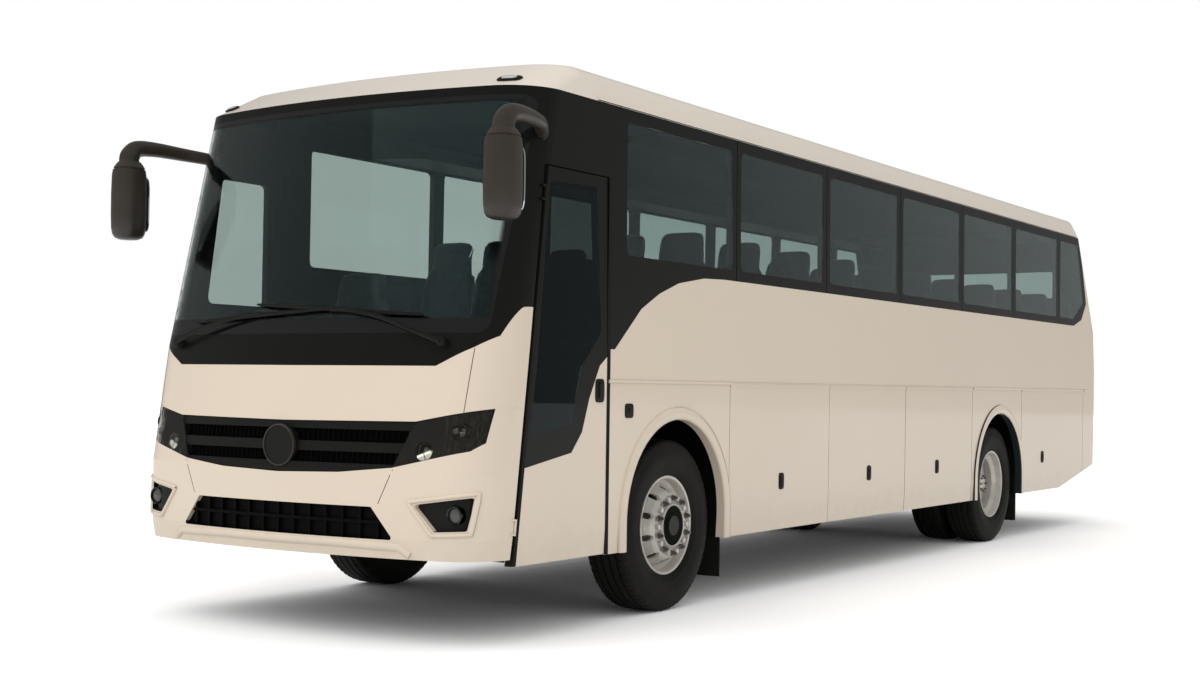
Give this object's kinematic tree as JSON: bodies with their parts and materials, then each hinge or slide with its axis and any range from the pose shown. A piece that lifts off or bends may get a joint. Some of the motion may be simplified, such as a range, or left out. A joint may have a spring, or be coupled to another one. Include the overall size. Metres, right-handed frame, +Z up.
{
  "type": "coach bus",
  "caption": "Single-deck touring coach with a swing entrance door, side luggage flaps, steered front wheels and twin rear wheels.",
  "frame": {"origin": "on the ground under the middle of the coach's outline", "axes": "+Z up, the front faces -Y, +X is the coach's own left side, where the entrance door is"},
  "size_m": [2.904, 11.18, 3.1498],
  "materials": {
    "body_paint": "gloss",
    "roof_paint": "gloss",
    "black_trim": "gloss",
    "tinted_glass": "gloss",
    "clear_glass": "gloss",
    "red_lens": "gloss",
    "dark_steel": "satin",
    "dark_plastic": "matte",
    "floor_covering": "matte",
    "seat_fabric": "matte",
    "interior_plastic": "matte",
    "wheel_paint": "satin",
    "tyre": "matte"
  },
  "bodies": {
    "coach": {"front_bumper": "body_paint", "front_panel": "body_paint", "windscreen_surround": "black_trim", "windscreen": "tinted_glass", "grille": "black_trim", "lower_intake": "black_trim", "headlamp_buckets": "black_trim", "headlamp_lenses": "clear_glass", "fog_lamps": "black_trim", "side_panel_left": "body_paint", "side_panel_right": "body_paint", "window_band_left": "black_trim", "window_band_right": "black_trim", "side_glass_left": "tinted_glass", "side_glass_right": "tinted_glass", "roof_front_cap": "roof_paint", "roof_panel": "roof_paint", "rear_bumper": "body_paint", "rear_wall": "body_paint", "rear_glass": "tinted_glass", "tail_lamps": "red_lens", "chassis_frame": "dark_steel", "luggage_bay": "dark_steel", "arch_liners": "dark_plastic", "cabin_floor": "floor_covering", "passenger_seats": "seat_fabric", "driver_seat": "seat_fabric", "luggage_racks": "interior_plastic", "dashboard": "interior_plastic", "front_axle": "dark_steel", "rear_axle": "dark_steel", "engine": "dark_steel", "mud_flaps": "dark_plastic", "mirrors": "black_trim", "wipers": "dark_plastic"},
    "door": {"entrance_door": "body_paint", "door_frame": "black_trim", "door_glass": "tinted_glass"},
    "flap_1_left": {"luggage_flap_1_left": "body_paint"},
    "flap_2_left": {"luggage_flap_2_left": "body_paint"},
    "flap_3_left": {"luggage_flap_3_left": "body_paint"},
    "service_left": {"service_flap_left": "body_paint"},
    "flap_1_right": {"luggage_flap_1_right": "body_paint"},
    "flap_2_right": {"luggage_flap_2_right": "body_paint"},
    "flap_3_right": {"luggage_flap_3_right": "body_paint"},
    "service_right": {"service_flap_right": "body_paint"},
    "hatch": {"engine_hatch": "body_paint"},
    "steer_left": {"knuckle_left": "dark_steel"},
    "steer_right": {"knuckle_right": "dark_steel"},
    "track_rod": {"tie_rod": "dark_steel"},
    "roll_front_left": {"wheel_front_left": "wheel_paint", "tyre_front_left": "tyre"},
    "roll_front_right": {"wheel_front_right": "wheel_paint", "tyre_front_right": "tyre"},
    "roll_rear_left": {"wheel_rear_left": "wheel_paint", "tyres_rear_left": "tyre"},
    "roll_rear_right": {"wheel_rear_right": "wheel_paint", "tyres_rear_right": "tyre"},
    "helm": {"steering_wheel": "dark_plastic"}
  },
  "joints": [
    {"name": "door_swing", "type": "hinge", "parent": "coach", "child": "door", "pos_m": [1.25, -5.09029, 1], "axis": [0, -0.1322, -0.9912], "range_deg": [0, 85]},
    {"name": "luggage_lift_1_left", "type": "hinge", "parent": "coach", "child": "flap_1_left", "pos_m": [1.251, -2.054, 1.387], "axis": [0, -1, 0], "range_deg": [0, 80]},
    {"name": "luggage_lift_2_left", "type": "hinge", "parent": "coach", "child": "flap_2_left", "pos_m": [1.251, -0.585, 1.387], "axis": [0, -1, 0], "range_deg": [0, 80]},
    {"name": "luggage_lift_3_left", "type": "hinge", "parent": "coach", "child": "flap_3_left", "pos_m": [1.251, 0.8895, 1.387], "axis": [0, -1, 0], "range_deg": [0, 80]},
    {"name": "service_lift_left", "type": "hinge", "parent": "coach", "child": "service_left", "pos_m": [1.251, 3.9655, 1.387], "axis": [0, -1, 0], "range_deg": [0, 80]},
    {"name": "luggage_lift_1_right", "type": "hinge", "parent": "coach", "child": "flap_1_right", "pos_m": [-1.251, -2.054, 1.387], "axis": [0, 1, 0], "range_deg": [0, 80]},
    {"name": "luggage_lift_2_right", "type": "hinge", "parent": "coach", "child": "flap_2_right", "pos_m": [-1.251, -0.585, 1.387], "axis": [0, 1, 0], "range_deg": [0, 80]},
    {"name": "luggage_lift_3_right", "type": "hinge", "parent": "coach", "child": "flap_3_right", "pos_m": [-1.251, 0.8895, 1.387], "axis": [0, 1, 0], "range_deg": [0, 80]},
    {"name": "service_lift_right", "type": "hinge", "parent": "coach", "child": "service_right", "pos_m": [-1.251, 3.9655, 1.387], "axis": [0, 1, 0], "range_deg": [0, 80]},
    {"name": "hatch_lift", "type": "hinge", "parent": "coach", "child": "hatch", "pos_m": [0, 5.579, 1.566], "axis": [1, 0, 0], "range_deg": [0, 80]},
    {"name": "steer_left_turn", "type": "hinge", "parent": "coach", "child": "steer_left", "pos_m": [0.945, -3.46, 0.522], "axis": [0, 0, 1], "range_deg": [-35, 35]},
    {"name": "steer_right_turn", "type": "hinge", "parent": "coach", "child": "steer_right", "pos_m": [-0.945, -3.46, 0.522], "axis": [0, 0, 1], "range_deg": [-35, 35]},
    {"name": "tie_rod_turn", "type": "hinge", "parent": "steer_left", "child": "track_rod", "pos_m": [0.945, -3.31, 0.425], "axis": [0, 0, 1], "range_deg": [-35, 35]},
    {"name": "front_left_roll", "type": "hinge", "parent": "steer_left", "child": "roll_front_left", "pos_m": [1.05, -3.46, 0.522], "axis": [1, 0, 0], "continuous": true},
    {"name": "front_right_roll", "type": "hinge", "parent": "steer_right", "child": "roll_front_right", "pos_m": [-1.05, -3.46, 0.522], "axis": [1, 0, 0], "continuous": true},
    {"name": "rear_left_roll", "type": "hinge", "parent": "coach", "child": "roll_rear_left", "pos_m": [1.05, 2.37, 0.522], "axis": [1, 0, 0], "continuous": true},
    {"name": "rear_right_roll", "type": "hinge", "parent": "coach", "child": "roll_rear_right", "pos_m": [-1.05, 2.37, 0.522], "axis": [1, 0, 0], "continuous": true},
    {"name": "helm_turn", "type": "hinge", "parent": "coach", "child": "helm", "pos_m": [-0.62, -4.86, 1.66], "axis": [0, 0.4695, 0.8829], "range_deg": [-630, 630]}
  ],
  "couplings": [
    {"joint": "steer_right_turn", "follows": "steer_left_turn", "ratio": 1},
    {"joint": "tie_rod_turn", "follows": "steer_left_turn", "ratio": -1},
    {"joint": "helm_turn", "follows": "steer_left_turn", "ratio": 18}
  ]
}
